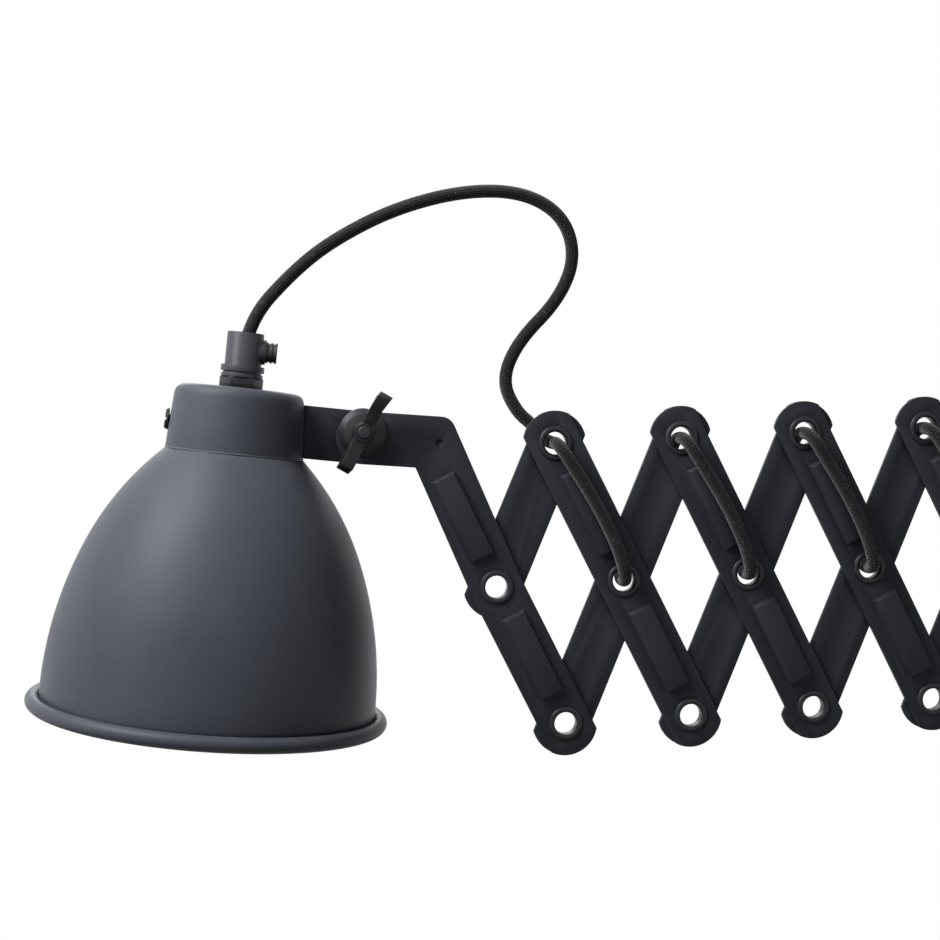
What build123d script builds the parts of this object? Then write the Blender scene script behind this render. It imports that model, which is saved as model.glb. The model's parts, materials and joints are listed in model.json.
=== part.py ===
from build123d import *
from math import cos, pi, radians, sin, sqrt, tan
import os

# Accordion wall lamp: a bell shade on a scissor arm that swings from a wall rod.
# Millimetres, +Z up. The origin is the middle of the four wall screws, on the
# wall plane X = 0. The arm reaches out along -X and folds in the XZ plane, and
# its outer face, which carries the woven cord, looks along -Y.

os.makedirs("parts", exist_ok=True)

# ---------------------------------------------------------------- scissor arm
rest_angle = 24.7           # lean of every link from the vertical, as stored
crossings = 5               # link pairs that cross
link_half = 71.5            # middle hole to end hole
link_width = 24.0
link_thickness = 2.0
link_end_radius = 15.0      # end arc, about the end hole
layer_gap = 0.1             # each layer of links to the arm's middle plane
rib_length = 42.0           # pressed rib on a front link, at its foot
rib_width = 12.0
rib_height = 3.0
rib_slope = 20.0            # lean of the rib's walls
rib_skin = 1.6              # sheet over the rib's hollow back
rib_shift = 0.8             # rib axis off the link's centre line
tool_mark_ball = 2.0        # round punch mark by the bend
tool_mark_lift = 0.8        # ball's centre in front of the strip

# ------------------------------------------------------------- hollow rivets
rivet_bore = 5.2
rivet_wall = 0.9
rivet_rim = 8.0
rivet_crown = 1.1
rivet_seat = 0.02           # clearance in the link that a rivet stays with
rivet_play = 0.08           # running clearance in the link that turns on it

# ------------------------------------------------------------------ bent arm
arm_lean = 21.5             # lean of the arm's part above the first crossing
arm_slope = 6.0             # fall of the level part, towards the links
arm_pivot_out = 58.5        # tilt pivot, beside the first crossing
arm_pivot_up = 73.3         # tilt pivot, above the first crossing
arm_bend_radius = 7.0
arm_strip_drop = 2.4        # level strip's centre line, below the tilt pivot
arm_mark_on = 2.8           # punch mark, past the bend along the level line

# ---------------------------------------------------------------- shade head
head_lean = 8.0             # lean of the shade's axis
ear_out = 56.3              # tilt pivot, out from the shade's axis
ear_rise = 15.0             # tilt pivot, above the neck cap's lower edge
bead_offset = 2.5           # rolled rim: its centre line, out from the dome's foot
bead_radius = 3.3
sheet = 1.0                 # spun sheet of the dome
dome_foot = 4.4             # height where the dome's curve begins
dome_radius = 74.4
waist_height = 72.0         # where the dome's two arcs meet
waist_radius = 60.6
seam_height = 115.2         # neck cap sits on the dome here
seam_radius = 30.7
seam_step = 0.2             # dome stands in from the cap's edge by this much
collar_radius = 28.2        # dome's upright collar, inside the cap
collar_height = 16.0
cap_top_radius = 28.6       # neck cap, below its rounded shoulder
cap_height = 29.1
cap_shoulder = 5.5
cap_sheet = 1.2

# ----------------------------------------------------- ear, bolt and wing nut
ear_thickness = 2.0
saddle_thickness = 1.5
saddle_angle = 44.0         # behind the ear
saddle_gap = 0.05
bolt_radius = 3.0
bolt_play = 0.08
bolt_head_radius = 7.0
bolt_head_height = 3.4
dished_radius = 11.0        # domed washer under the wing nut
dished_flat = 5.2
dished_height = 3.4
dished_sheet = 1.2
dished_edge = 0.6
hub_radius = 5.2
hub_tip_radius = 4.1
hub_height = 8.0
hub_foot = 2.0
bolt_stickout = 1.0
bolt_chamfer = 0.5
wing_reach = 21.5
wing_bend = 17.0            # wing outline, out from the bolt's axis
wing_waist = 10.8
wing_low = 1.2              # wing outline, up from the nut's foot
wing_bend_height = 5.5
wing_tip_height = 10.5
wing_top_height = 14.0
wing_thickness = 5.8
wing_lean = 57.3            # line of the wings, from the level
neck_screw_rise = 12.5      # above the neck cap's lower edge
neck_screw_radius = 4.9
neck_screw_head = 2.4
neck_screw_shank = 2.0
neck_screw_seat = 0.4       # head stands off the cap's cone by this much
screw_play = 0.05
screw_taper = 18.0
slot_width = 1.1            # screwdriver slot
slot_depth = 1.1

# -------------------------------------------------- lampholder and cord grip
nipple_radius = 5.0
nipple_bore = 3.6
nipple_length = 30.0
nipple_above = 14.0         # nipple's reach above the cap
hex_nut_flats = 17.0
hex_nut_height = 5.0
inner_nut_height = 4.2
grip_ring_radius = 9.7
grip_ring_height = 5.2
grip_groove = 0.8
grip_radius = 8.2
grip_height = 20.0
grip_cord_bore = 3.3
grip_boss_radius = 5.6
grip_boss_reach = 9.6
grip_screw_height = 12.2
grip_screw_radius = 4.7
grip_screw_length = 5.0
grip_screw_ridges = 3
grip_screw_groove = 0.5
grip_screw_shank = 2.0
holder_radius = 20.0
holder_length = 47.0
holder_neck_radius = 9.0
holder_wall_top = 15.0       # shoulder's height, down from the holder's top
holder_neck_height = 4.0
shell_recess = 2.0          # screw shell starts this far inside the holder
screw_shell_radius = 13.3   # bore of the E27 screw shell
screw_shell_wall = 0.8
screw_shell_depth = 27.0     # to the floor of the holder's hollow
screw_shell_length = 24.0    # ends clear of the centre contact
contact_radius = 5.0
contact_thickness = 1.2
contact_tip_radius = 2.0
contact_tip = 1.0

# --------------------------------------------------------------- wall bracket
rod_stand = 34.0            # rod axis to wall
rod_radius = 5.0
rod_reach = 116.0           # half length of the rod
rod_chamfer = 0.6
ear_reach = 27.0            # collar ears: rod axis to wall pivot
collar_outer = 9.0
collar_length = 16.0
collar_play = 0.05
ring_height = 8.0
plate_width = 60.0
plate_bottom = -125.0
plate_top = 195.0
plate_thickness = 3.0
plate_corner = 6.0
wall_screw_radius = 2.6
wall_screw_y = 22.0
wall_screw_z = 80.0
cable_entry_radius = 7.0
bracket_height = 100.0      # brackets above and below the origin
bracket_thickness = 4.0
bracket_width = 20.0
bracket_foot_width = 28.0
bracket_foot_height = 24.0
bracket_foot_thickness = 3.0
bracket_screw_radius = 2.0
bracket_screw_head = 3.6
wall_head_height = 2.2
bracket_screw_y = 9.0
bracket_screw_drop = 15.0
rod_nut_flats = 16.0
rod_nut_height = 8.0
rod_nut_dome = 5.0
rod_nut_room = 0.2          # between the rod's end and the nut's closed end
cover_depth = 25.0
cover_width = 50.0
cover_height = 64.0
cover_wall = 2.0
cover_edge = 2.5
cover_centre = 156.0
cover_screw_y = 17.0
cover_screw_z = 24.0
gland_height = 160.0
gland_radius = 8.0
gland_length = 12.0
gland_nose_radius = 6.6
gland_nose = 5.0
gland_bore = 3.5
gland_thread_radius = 6.0
gland_thread_length = 5.0
block_size = (14.0, 30.0, 18.0)
block_low = 5.0             # terminal block above the cover's lower edge
block_screw_room = 1.0
block_pitch = 9.0
block_well_radius = 1.8
block_well_depth = 3.0

# ----------------------------------------------------------------------- cord
cord_radius = 3.0
exit_run = 6.0              # straight out of an eyelet
grip_run = 5.0              # straight out of the cord grip
exit_rise = 10.2            # cord's centre off the arm's middle plane
exit_step = 4.2             # along the link, where the cord has turned to follow it
bow_start = 15.0            # along the link, to the start of the long bow
bow_rise = 9.6              # the same over the ribs
front_bow = 3.5             # front lengths hang this far beside the link's centre line
front_sway = (0.2, 0.9, 1.0, 0.45, 0.1)     # share of the bow from the middle eyelet up
rear_bow = 4.0
rear_sway = (0.1, 0.6, 1.0, 0.6, 0.1)
corner_share = 0.45         # of the shorter run, taken up by each bend's arc

# -------------------------------------------------------------- worked places
lean = radians(rest_angle)
pitch = 2 * link_half * sin(lean)
half_height = link_half * cos(lean)
rod_x = -rod_stand
wall_pivot_x = rod_x - ear_reach
front_face = -(layer_gap + link_thickness)
rear_face = layer_gap + link_thickness
rivet_outer = rivet_bore + rivet_wall
up_left = (-sin(lean), cos(lean))
up_right = (sin(lean), cos(lean))


def middle(k):
    """Middle pivot of crossing k, as (x, z)."""
    return (wall_pivot_x - (crossings - 0.5 - k) * pitch, 0.0)


def top(k):
    """Upper pivot where rear link k - 1 meets front link k."""
    return (middle(k)[0] - link_half * sin(lean), half_height)


def bottom(k):
    """Lower pivot where front link k meets rear link k + 1."""
    return (middle(k)[0] + link_half * sin(lean), -half_height)


first = Vector(middle(0)[0], 0, 0)
wall_top = (wall_pivot_x, half_height)
wall_bottom = (wall_pivot_x, -half_height)
tilt_pivot = (first.X - arm_pivot_out, arm_pivot_up)


def facing_plane(y):
    """Plane whose sketch is seen from the front, as (x, z)."""
    return Plane(origin=(0, y, 0), x_dir=(1, 0, 0), z_dir=(0, -1, 0))


def link_plane(centre, y, direction):
    """Plane on a link's face: sketch X runs up the link from its middle hole."""
    return Plane(
        origin=(centre[0], y, centre[1]),
        x_dir=(direction[0], 0, direction[1]),
        z_dir=(0, -1, 0),
    )


def pivot_section(place):
    """Plane through a cross pivot: sketch X is the radius, sketch Y runs along -Y."""
    return Plane(origin=(place[0], 0, place[1]), x_dir=(1, 0, 0), z_dir=(0, 0, -1))


def pivot_axis(place):
    return Axis((place[0], 0, place[1]), (0, -1, 0))


def save(piece, name):
    piece.label = name
    export_step(piece, f"parts/{name}.step")


# ------------------------------------------------------------------ the links
def draw_link(length):
    """Flat bar between two end holes, with wide arcs for ends."""
    SlotCenterToCenter(length, 2 * link_end_radius)
    Rectangle(length + 2 * link_end_radius, link_width, mode=Mode.INTERSECT)


def press_rib(face, along, across):
    """Pressed rib on a front link: raised in front, hollow behind."""
    with BuildSketch(face.offset(link_thickness)) as foot:
        with Locations((along, across)):
            Rectangle(rib_length, rib_width)
    extrude(foot.sketch, amount=rib_height, taper=rib_slope)
    hollow_depth = link_thickness + rib_height - rib_skin
    with BuildSketch(face) as hollow:
        with Locations((along, across)):
            Rectangle(rib_length - 2 * rib_skin, rib_width - 2 * rib_skin)
    extrude(hollow.sketch, amount=hollow_depth, taper=rib_slope * 0.6, mode=Mode.SUBTRACT)


def drill_link(face, stations, radius):
    with BuildSketch(face) as holes:
        with Locations(*[(along, 0) for along in stations]):
            Circle(radius)
    extrude(holes.sketch, amount=link_thickness, mode=Mode.SUBTRACT)


for k in range(1, crossings):
    face = link_plane(middle(k), -layer_gap, up_left)
    with BuildPart() as front_link:
        with BuildSketch(face):
            draw_link(2 * link_half)
        extrude(amount=link_thickness)
        for along in (link_half / 2, -link_half / 2):
            press_rib(face, along, -rib_shift)
        drill_link(face, (-link_half, 0, link_half), rivet_outer + rivet_seat)
    save(front_link.part, f"front_link_{k}")

for k in range(1, crossings):
    face = link_plane(middle(k), rear_face, up_right)
    with BuildPart() as rear_link:
        with BuildSketch(face):
            draw_link(2 * link_half)
        extrude(amount=link_thickness)
        drill_link(face, (-link_half, 0, link_half), rivet_outer + rivet_play)
    save(rear_link.part, f"rear_link_{k}")

# The first rear link is only a half, from the first crossing up to the cord's eyelet.
half_centre = (middle(0)[0] + link_half / 2 * sin(lean), half_height / 2)
half_face = link_plane(half_centre, rear_face, up_right)
with BuildPart() as half_link:
    with BuildSketch(half_face):
        draw_link(link_half)
    extrude(amount=link_thickness)
    drill_link(half_face, (-link_half / 2, link_half / 2), rivet_outer + rivet_play)
save(half_link.part, "half_link")


# ------------------------------------------------------------------ bent arm
def meet(p, d, q, e):
    """Point where the line through p along d crosses the line through q along e."""
    s = ((q[0] - p[0]) * e[1] - (q[1] - p[1]) * e[0]) / (d[0] * e[1] - d[1] * e[0])
    return (p[0] + s * d[0], p[1] + s * d[1])


def shifted(p, d, amount):
    return (p[0] + amount * d[0], p[1] + amount * d[1])


level_dir = (cos(radians(arm_slope)), -sin(radians(arm_slope)))
level_up = (-level_dir[1], level_dir[0])
down_dir = (sin(lean), -cos(lean))
down_right = (cos(lean), sin(lean))
upper_dir = (sin(radians(arm_lean)), -cos(radians(arm_lean)))
upper_right = (-upper_dir[1], upper_dir[0])
half_width = link_width / 2
corner_reach = sqrt(link_end_radius**2 - half_width**2)
end_hole = bottom(0)
arm_start = shifted(tilt_pivot, level_up, -arm_strip_drop)


def arm_edge(side):
    """Corners along one edge of the bent arm, from its lower end to the tilt pivot."""
    reach = side * half_width
    low = shifted(shifted(end_hole, down_dir, corner_reach), down_right, reach)
    kink = meet(low, down_dir, shifted(middle(0), upper_right, reach), upper_dir)
    bend = meet(kink, upper_dir, shifted(arm_start, level_up, reach), level_dir)
    return [low, kink, bend, shifted(arm_start, level_up, reach)]


right_edge, left_edge = arm_edge(1), arm_edge(-1)
outer_corner = right_edge[2]
arm_bend = meet(arm_start, level_dir, middle(0), upper_dir)

arm_face = facing_plane(-layer_gap)
arm_link_face = link_plane(middle(0), -layer_gap, up_left)
with BuildPart() as bent_arm:
    with BuildSketch(arm_face) as arm_outline:
        with BuildLine():
            Polyline(*right_edge)
            ThreePointArc(right_edge[-1], shifted(arm_start, level_dir, -half_width), left_edge[-1])
            Polyline(*reversed(left_edge))
            ThreePointArc(left_edge[0], shifted(end_hole, down_dir, link_end_radius), right_edge[0])
        make_face()
        fillet(arm_outline.vertices().sort_by_distance(Vector(*outer_corner))[0], arm_bend_radius)
        with Locations(tilt_pivot):
            Circle(bolt_radius + bolt_play, mode=Mode.SUBTRACT)
    extrude(amount=link_thickness)
    for along in (link_half / 2, -link_half / 2):
        press_rib(arm_link_face, along, -rib_shift)
    drill_link(arm_link_face, (-link_half, 0), rivet_outer + rivet_seat)
    mark = shifted(arm_bend, level_dir, arm_mark_on)
    with Locations((mark[0], front_face - tool_mark_lift, mark[1])):
        Sphere(tool_mark_ball, mode=Mode.SUBTRACT)
save(bent_arm.part, "bent_arm")


# ------------------------------------------------------------- hollow rivets
def add_rivet(place):
    """Tube through both layers, rolled over at each face."""
    reach = rear_face + rivet_crown
    roll = (rivet_bore + rivet_rim) / 2
    with BuildSketch(pivot_section(place)) as wall:
        with BuildLine():
            Line((rivet_bore, -rear_face), (rivet_bore, rear_face))
            Polyline((rivet_rim, rear_face), (rivet_outer, rear_face),
                     (rivet_outer, -rear_face), (rivet_rim, -rear_face))
            for side in (1, -1):
                for start in (rivet_bore, rivet_rim):
                    TangentArc((start, side * rear_face), (roll, side * reach), tangent=(0, side))
        make_face()
    revolve(wall.sketch, axis=pivot_axis(place))


for k in range(crossings):
    places = [middle(k), bottom(k)] + ([top(k)] if k > 0 else [])
    with BuildPart() as rivets:
        for place in places:
            add_rivet(place)
    save(rivets.part, f"hollow_rivets_{k}")

with BuildPart() as wall_rivet:
    add_rivet(wall_top)
save(wall_rivet.part, "wall_pivot_rivet")

# ---------------------------------------------------------------- shade head
tilt = radians(head_lean)
head_x = Vector(cos(tilt), 0, -sin(tilt))
head_up = Vector(sin(tilt), 0, cos(tilt))
rim_centre = (Vector(tilt_pivot[0], 0, tilt_pivot[1]) - head_x * ear_out
              - head_up * (seam_height + ear_rise))
head_axis = Axis(rim_centre, head_up)
# Sketch X is the distance from the shade's axis, sketch Y the height above the rim.
head_section = Plane(origin=rim_centre, x_dir=head_x, z_dir=(0, -1, 0))
cap_top = seam_height + cap_height
neck_screw_height = seam_height + neck_screw_rise


def head_level(height):
    """Plane across the shade's axis at a height above the rim."""
    return Plane(origin=rim_centre + head_up * height, x_dir=head_x, z_dir=head_up)


def drill_neck_screw():
    """Hole for the side screw, through the cap and the dome's collar."""
    side = Plane(origin=rim_centre + head_up * neck_screw_height, x_dir=(0, 1, 0), z_dir=-head_x)
    with BuildSketch(side) as hole:
        Circle(neck_screw_shank + screw_play)
    extrude(hole.sketch, amount=seam_radius + 1, mode=Mode.SUBTRACT)


def inside(curve, share):
    """Point one sheet in from the dome's outer curve, whose run is upwards."""
    run = curve % share
    return curve @ share + Vector(-run.Y, run.X) * sheet


with BuildPart() as shade_dome:
    with BuildSketch(head_section):
        with BuildLine():
            lower = TangentArc((dome_radius, dome_foot), (waist_radius, waist_height), tangent=(0, 1))
            upper = TangentArc(lower @ 1, (seam_radius - seam_step, seam_height), tangent=lower % 1)
            Polyline(upper @ 1, (collar_radius, seam_height),
                     (collar_radius, seam_height + collar_height),
                     (collar_radius - sheet, seam_height + collar_height),
                     (collar_radius - sheet, seam_height - sheet))
            ThreePointArc((collar_radius - sheet, seam_height - sheet), inside(upper, 0.5),
                          inside(lower, 1))
            ThreePointArc(inside(lower, 1), inside(lower, 0.5), (dome_radius - sheet, dome_foot))
            Polyline((dome_radius - sheet, dome_foot), (dome_radius - sheet, 0),
                     (dome_radius, 0), (dome_radius, dome_foot))
        make_face()
        with Locations((dome_radius + bead_offset, 0)):
            Circle(bead_radius)
    revolve(axis=head_axis)
    drill_neck_screw()
save(shade_dome.part, "shade_dome")

with BuildPart() as neck_cap:
    with BuildSketch(head_section) as cap_profile:
        with BuildLine():
            Polyline((nipple_radius + screw_play, cap_top), (cap_top_radius, cap_top),
                     (seam_radius, seam_height), (seam_radius - cap_sheet, seam_height),
                     (cap_top_radius - cap_sheet, cap_top - cap_sheet),
                     (nipple_radius + screw_play, cap_top - cap_sheet), close=True)
        make_face()
        shoulder = cap_profile.vertices().sort_by_distance(Vector(cap_top_radius, cap_top))[0]
        fillet(shoulder, cap_shoulder)
        inner = cap_profile.vertices().sort_by_distance(
            Vector(cap_top_radius - cap_sheet, cap_top - cap_sheet))[0]
        fillet(inner, cap_shoulder - cap_sheet)
    revolve(axis=head_axis)
    drill_neck_screw()
save(neck_cap.part, "neck_cap")

# Radius of the cap's side at a height, and its slope towards the axis.
cap_slope = (seam_radius - cap_top_radius) / cap_height


def cap_radius(height):
    return seam_radius - cap_slope * (height - seam_height)


# ----------------------------------------------------- ear, bolt and wing nut
ear_height = seam_height + ear_rise
ear_middle = ear_height - arm_strip_drop
saddle_low = ear_middle - half_width
saddle_high = ear_middle + half_width

with BuildPart() as lamp_ear:
    with BuildSketch(head_section):
        with BuildLine():
            Polyline((cap_radius(saddle_low) + saddle_gap, saddle_low),
                     (cap_radius(saddle_low) + saddle_gap + saddle_thickness, saddle_low),
                     (cap_radius(saddle_high) + saddle_gap + saddle_thickness, saddle_high),
                     (cap_radius(saddle_high) + saddle_gap, saddle_high), close=True)
        make_face()
    revolve(axis=head_axis, revolution_arc=saddle_angle)
    with BuildSketch(Plane(origin=rim_centre + Vector(0, rear_face, 0), x_dir=head_x, z_dir=(0, -1, 0))):
        saddle_mid = saddle_gap + saddle_thickness / 2
        with BuildLine():
            Polyline((cap_radius(saddle_low) + saddle_mid, saddle_low), (ear_out, saddle_low),
                     (ear_out, saddle_high), (cap_radius(saddle_high) + saddle_mid, saddle_high),
                     close=True)
        make_face()
        with Locations((ear_out, ear_middle)):
            Circle(half_width)
        with Locations((ear_out, ear_height)):
            Circle(bolt_radius + rivet_seat, mode=Mode.SUBTRACT)
    extrude(amount=ear_thickness)
save(lamp_ear.part, "lamp_ear")

bolt_end = -front_face + dished_height + hub_height + bolt_stickout
head_crown = -rear_face - bolt_head_height
head_rim = -rear_face - bolt_head_height / 3
# The head's crown is part of a ball centred on the bolt's axis.
crown_rise = head_rim - head_crown
crown_ball = (bolt_head_radius ** 2 + crown_rise ** 2) / (2 * crown_rise)
crown_mid = head_crown + crown_ball - sqrt(crown_ball ** 2 - bolt_head_radius ** 2 / 4)
with BuildPart() as pivot_bolt:
    with BuildSketch(pivot_section(tilt_pivot)):
        with BuildLine():
            Polyline((0, head_crown), (0, bolt_end), (bolt_radius - bolt_chamfer, bolt_end),
                     (bolt_radius, bolt_end - bolt_chamfer), (bolt_radius, -rear_face),
                     (bolt_head_radius, -rear_face), (bolt_head_radius, head_rim))
            ThreePointArc((bolt_head_radius, head_rim), (bolt_head_radius / 2, crown_mid),
                          (0, head_crown))
        make_face()
    revolve(axis=pivot_axis(tilt_pivot))
save(pivot_bolt.part, "pivot_bolt")

nut_foot = -front_face + dished_height
with BuildPart() as domed_washer:
    with BuildSketch(pivot_section(tilt_pivot)):
        with BuildLine():
            foot = -front_face
            bore = bolt_radius + bolt_play
            Polyline((bore, nut_foot), (dished_flat, nut_foot))
            TangentArc((dished_flat, nut_foot), (dished_radius, foot + dished_edge), tangent=(1, 0))
            Polyline((dished_radius, foot + dished_edge), (dished_radius, foot),
                     (dished_radius - dished_sheet, foot),
                     (dished_flat, nut_foot - dished_sheet), (bore, nut_foot - dished_sheet),
                     (bore, nut_foot))
        make_face()
    revolve(axis=pivot_axis(tilt_pivot))
save(domed_washer.part, "domed_washer")

wing_dir = (cos(radians(wing_lean)), sin(radians(wing_lean)))
# Sketch X runs along the wings, sketch Y towards the front.
wing_plane = Plane(origin=(tilt_pivot[0], -nut_foot, tilt_pivot[1]),
                   x_dir=(wing_dir[0], 0, wing_dir[1]), z_dir=(wing_dir[1], 0, -wing_dir[0]))
wing_root = hub_radius / 5      # each wing starts inside the hub
with BuildPart() as wing_nut:
    with BuildSketch(pivot_section(tilt_pivot)):
        with BuildLine():
            Polyline((0, nut_foot), (hub_radius, nut_foot), (hub_radius, nut_foot + hub_foot),
                     (hub_tip_radius, nut_foot + hub_height), (0, nut_foot + hub_height), close=True)
        make_face()
    revolve(axis=pivot_axis(tilt_pivot))
    for side in (1, -1):
        with BuildSketch(wing_plane):
            with BuildLine():
                Polyline((side * wing_root, wing_low), (side * hub_radius, wing_low),
                         (side * wing_bend, wing_bend_height))
                ThreePointArc((side * wing_bend, wing_bend_height), (side * wing_reach, wing_tip_height),
                              (side * wing_bend, wing_top_height))
                Polyline((side * wing_bend, wing_top_height), (side * wing_waist, wing_tip_height),
                         (side * hub_tip_radius, hub_height - hub_foot / 2),
                         (side * wing_root, hub_height - hub_foot / 2), (side * wing_root, wing_low))
            make_face()
        extrude(amount=wing_thickness / 2, both=True)
    with BuildSketch(facing_plane(-nut_foot)):
        with Locations(tilt_pivot):
            Circle(bolt_radius + screw_play)
    extrude(amount=hub_height + 1, mode=Mode.SUBTRACT)
save(wing_nut.part, "wing_nut")

with BuildPart() as neck_screw:
    seat = cap_radius(neck_screw_height)
    outward = Plane(origin=rim_centre + head_up * neck_screw_height - head_x * seat,
                    x_dir=(0, 1, 0), z_dir=-head_x)
    with BuildSketch(outward.offset(neck_screw_seat)):
        Circle(neck_screw_radius)
    extrude(amount=neck_screw_head, taper=screw_taper)
    with BuildSketch(outward.offset(neck_screw_seat)):
        Circle(neck_screw_shank)
    extrude(amount=-(seat + neck_screw_seat - collar_radius + 2 * sheet))
    with BuildSketch(outward.offset(neck_screw_seat + neck_screw_head)):
        Rectangle(2 * neck_screw_radius, slot_width)
    extrude(amount=-slot_depth, mode=Mode.SUBTRACT)
save(neck_screw.part, "neck_screw")

# -------------------------------------------------- lampholder and cord grip
nipple_low = cap_top + nipple_above - nipple_length
with BuildPart() as threaded_nipple:
    with BuildSketch(head_level(nipple_low)):
        Circle(nipple_radius)
        Circle(nipple_bore, mode=Mode.SUBTRACT)
    extrude(amount=nipple_length)
save(threaded_nipple.part, "threaded_nipple")


def hex_ring(level, height):
    with BuildSketch(head_level(level)) as ring:
        RegularPolygon(hex_nut_flats / 2, 6, major_radius=False)
        Circle(nipple_radius + screw_play, mode=Mode.SUBTRACT)
    extrude(ring.sketch, amount=height)


with BuildPart() as lock_nut:
    hex_ring(cap_top, hex_nut_height)
save(lock_nut.part, "lock_nut")

inner_nut_low = cap_top - cap_sheet - inner_nut_height
with BuildPart() as inner_nut:
    hex_ring(inner_nut_low, inner_nut_height)
save(inner_nut.part, "inner_nut")

grip_low = cap_top + hex_nut_height
grip_ring_top = grip_low + grip_ring_height
grip_top = grip_low + grip_height
nipple_high = cap_top + nipple_above
screw_level = grip_low + grip_screw_height
with BuildPart() as cord_grip:
    with BuildSketch(head_section) as grip_profile:
        with BuildLine():
            ring_third = grip_ring_height / 3
            ring_foot = grip_ring_radius - grip_groove / 2
            Polyline((nipple_radius + screw_play, grip_low), (ring_foot, grip_low),
                     (ring_foot, grip_low + ring_third), (ring_foot - grip_groove, grip_low + ring_third),
                     (ring_foot - grip_groove, grip_low + ring_third + grip_groove),
                     (grip_ring_radius, grip_low + ring_third + grip_groove),
                     (grip_ring_radius, grip_ring_top), (grip_radius, grip_ring_top),
                     (grip_radius, grip_top), (grip_cord_bore, grip_top),
                     (grip_cord_bore, nipple_high), (nipple_radius + screw_play, nipple_high),
                     close=True)
        make_face()
    revolve(axis=head_axis)
    # Boss for the clamp screw.
    boss_axis = Plane(origin=rim_centre + head_up * screw_level, x_dir=(0, 1, 0), z_dir=head_x)
    boss_start = (grip_cord_bore + grip_radius) / 2
    with BuildSketch(boss_axis.offset(boss_start)):
        Circle(grip_boss_radius)
    extrude(amount=grip_boss_reach - boss_start)
    with BuildSketch(boss_axis):
        Circle(grip_screw_shank + screw_play)
    extrude(amount=grip_boss_reach, mode=Mode.SUBTRACT)
    # The boss leaves the cord's bore and the nipple's thread open.
    with BuildSketch(head_level(grip_low)):
        Circle(nipple_radius + screw_play)
    extrude(amount=nipple_high - grip_low, mode=Mode.SUBTRACT)
save(cord_grip.part, "cord_grip")

with BuildPart() as grip_screw:
    screw_seat = boss_axis.offset(grip_boss_reach)
    ridge = grip_screw_length / (2 * grip_screw_ridges - 1)
    for step in range(2 * grip_screw_ridges - 1):
        with BuildSketch(screw_seat.offset(step * ridge)):
            Circle(grip_screw_radius - (step % 2) * grip_screw_groove)
        extrude(amount=ridge)
    with BuildSketch(screw_seat):
        Circle(grip_screw_shank)
    extrude(amount=-(grip_boss_reach - grip_cord_bore))
save(grip_screw.part, "grip_screw")

holder_high = inner_nut_low
holder_low = holder_high - holder_length
cavity_top = holder_low + shell_recess + screw_shell_depth
cavity_radius = screw_shell_radius + screw_shell_wall
with BuildPart() as lampholder_body:
    with BuildSketch(head_section):
        with BuildLine():
            Polyline((cavity_radius, holder_low), (holder_radius, holder_low),
                     (holder_radius, holder_high - holder_wall_top))
            TangentArc((holder_radius, holder_high - holder_wall_top),
                       (holder_neck_radius, holder_high - holder_neck_height), tangent=(0, 1))
            Polyline((holder_neck_radius, holder_high - holder_neck_height),
                     (holder_neck_radius, holder_high), (nipple_radius + screw_play, holder_high),
                     (nipple_radius + screw_play, nipple_low), (0, nipple_low),
                     (0, cavity_top), (cavity_radius, cavity_top), (cavity_radius, holder_low))
        make_face()
    revolve(axis=head_axis)
save(lampholder_body.part, "lampholder_body")

with BuildPart() as lampholder_shell:
    with BuildSketch(head_level(cavity_top - screw_shell_depth)):
        Circle(cavity_radius)
        Circle(screw_shell_radius, mode=Mode.SUBTRACT)
    extrude(amount=screw_shell_length)
save(lampholder_shell.part, "lampholder_shell")

with BuildPart() as centre_contact:
    contact_low = head_level(cavity_top - contact_thickness)
    with BuildSketch(contact_low):
        Circle(contact_radius)
    extrude(amount=contact_thickness)
    with BuildSketch(contact_low):
        Circle(contact_tip_radius)
    extrude(amount=-contact_tip, taper=screw_taper)
save(centre_contact.part, "centre_contact")

# --------------------------------------------------------------- wall bracket
# Sketches on the wall have x along -Y, so a place is given as (-y, z).
wall_face = Plane(origin=(0, 0, 0), x_dir=(0, -1, 0), z_dir=(-1, 0, 0))
plate_middle = (plate_top + plate_bottom) / 2
wall_screw_places = [(y, z) for y in (-wall_screw_y, wall_screw_y) for z in (-wall_screw_z, wall_screw_z)]
cover_screw_places = [(y, cover_centre + z) for y, z in
                      ((-cover_screw_y, cover_screw_z), (cover_screw_y, -cover_screw_z))]
bracket_screw_places = [(y, side * (bracket_height - bracket_screw_drop))
                        for side in (1, -1) for y in (-bracket_screw_y, bracket_screw_y)]

with BuildPart() as wall_plate:
    with BuildSketch(wall_face):
        with Locations((0, plate_middle)):
            RectangleRounded(plate_width, plate_top - plate_bottom, plate_corner)
        with Locations(*wall_screw_places):
            Circle(wall_screw_radius, mode=Mode.SUBTRACT)
        with Locations((0, gland_height)):
            Circle(cable_entry_radius, mode=Mode.SUBTRACT)
        with Locations(*(cover_screw_places + bracket_screw_places)):
            Circle(bracket_screw_radius + screw_play, mode=Mode.SUBTRACT)
    extrude(amount=plate_thickness)
save(wall_plate.part, "wall_plate")

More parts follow.
